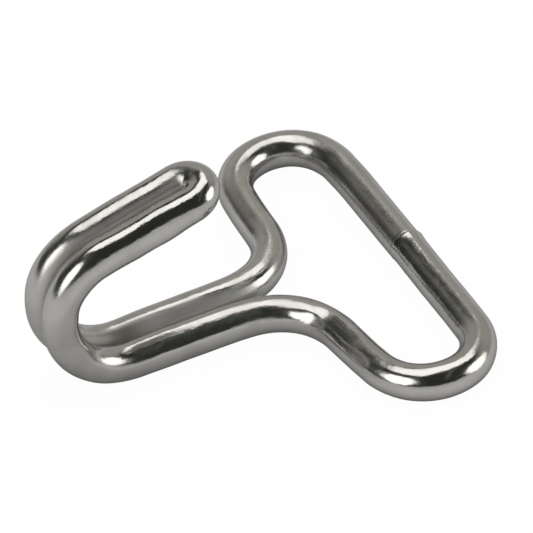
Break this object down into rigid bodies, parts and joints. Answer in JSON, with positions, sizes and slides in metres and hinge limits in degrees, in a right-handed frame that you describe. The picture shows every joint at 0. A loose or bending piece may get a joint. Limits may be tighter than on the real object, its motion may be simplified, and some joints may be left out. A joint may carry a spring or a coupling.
{
  "type": "webbing hook",
  "caption": "Bent-wire hook: a slotted frame holds a webbing strap, and a twin-wire shank curls up into a hook closed by a tight bend at its tip.",
  "frame": {"origin": "middle of the webbing bar's axis", "axes": "+X from the bar to the hook, +Y along the bar, +Z the side that the hook curls up on"},
  "size_m": [0.0642, 0.0644, 0.032],
  "materials": {
    "polished_steel": "polished"
  },
  "bodies": {
    "root": {"wire_hook": "polished_steel"}
  },
  "joints": []
}
